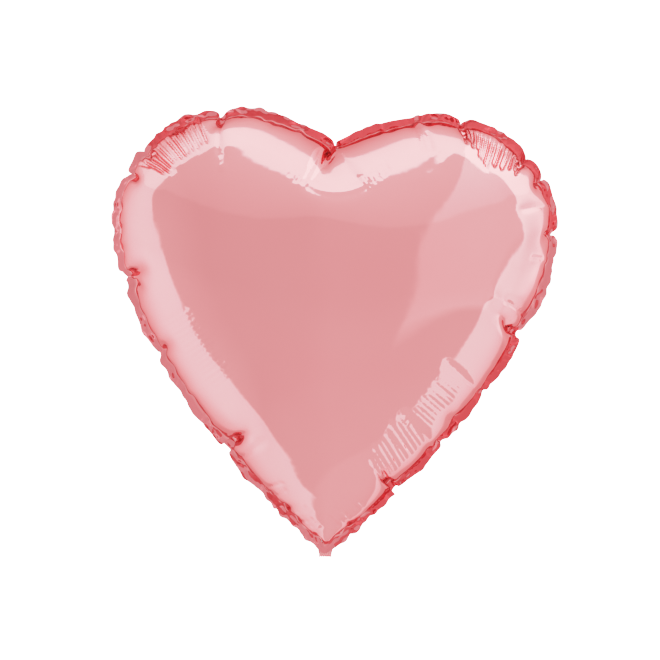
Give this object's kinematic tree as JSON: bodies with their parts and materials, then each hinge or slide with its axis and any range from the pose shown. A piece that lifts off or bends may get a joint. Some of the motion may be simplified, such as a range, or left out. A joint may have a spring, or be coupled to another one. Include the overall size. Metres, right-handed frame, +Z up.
{
  "type": "heart-shaped foil balloon",
  "caption": "Inflated foil heart of two welded film panels with a crimped margin, a filling tail folded up behind its point and a flat self-sealing valve.",
  "frame": {"origin": "middle of the gathered throat at the heart's point, where the ribbon is tied and the tail folds", "axes": "+Z up from the point to the cleft, -Y out of the front, +Y through the heart's depth, +X to the right as seen from the front"},
  "size_m": [0.362, 0.174, 0.3633],
  "materials": {
    "foil": "polished",
    "valve_film": "satin"
  },
  "bodies": {
    "balloon": {"front_panel": "foil", "back_panel": "foil", "valve_front_flap": "valve_film", "valve_back_flap": "valve_film"},
    "tail": {"tail_front_ply": "foil", "tail_back_ply": "foil", "valve_front_inlet": "valve_film", "valve_back_inlet": "valve_film"}
  },
  "joints": [
    {"name": "tail_fold", "type": "hinge", "parent": "balloon", "child": "tail", "pos_m": [0, 0.00105, 0], "axis": [-1, 0, 0], "range_deg": [0, 136]}
  ]
}
